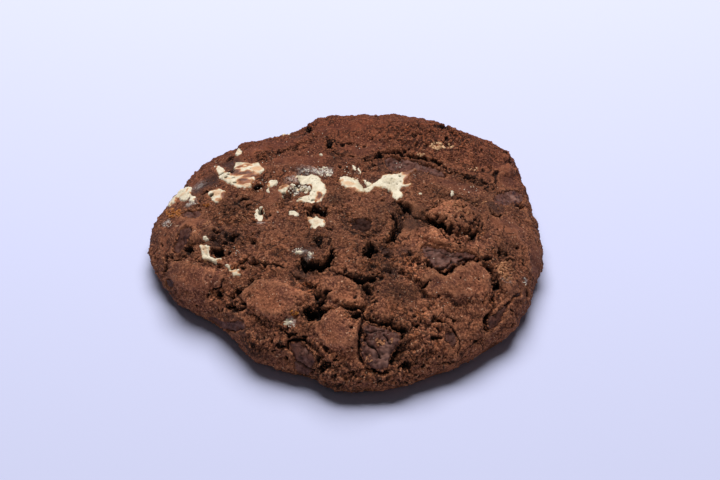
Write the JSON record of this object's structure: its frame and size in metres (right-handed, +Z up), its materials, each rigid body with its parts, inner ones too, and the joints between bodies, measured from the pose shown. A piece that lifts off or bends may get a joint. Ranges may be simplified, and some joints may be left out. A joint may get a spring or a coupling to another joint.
{
  "type": "smores cookie",
  "caption": "Thick round chocolate cookie with a cracked, pitted crust, chocolate chunks and melted marshmallow patches, lying flat.",
  "frame": {"origin": "middle of the cookie's box, on its flat underside", "axes": "+Z up through the cookie's thickness, its shortest extent; +X and +Y level, with the raised back lobe towards +Y"},
  "size_m": [0.0968, 0.0933, 0.0199],
  "materials": {
    "dough": "matte, baked, crumbly",
    "chocolate": "satin, with dull bloom",
    "marshmallow": "soft satin, toasted at the edges"
  },
  "bodies": {
    "root": {"cookie_dough": "dough", "chunk_right": "chocolate", "chunk_front": "chocolate", "chunk_front_left": "chocolate", "chunk_rim_right": "chocolate", "chunk_back_right": "chocolate", "chunk_left": "chocolate", "chunk_left_long": "chocolate", "chunk_rim_left": "chocolate", "chunk_rim_far_left": "chocolate", "chunk_middle": "chocolate", "chunk_front_right": "chocolate", "chunk_back": "chocolate", "marshmallow_rim": "marshmallow", "marshmallow_left": "marshmallow", "marshmallow_left_small": "marshmallow", "marshmallow_middle": "marshmallow", "marshmallow_middle_left": "marshmallow", "marshmallow_back": "marshmallow", "marshmallow_back_right": "marshmallow", "marshmallow_loop": "marshmallow", "marshmallow_star": "marshmallow", "marshmallow_fold": "marshmallow", "marshmallow_fold_tip": "marshmallow"}
  },
  "joints": []
}
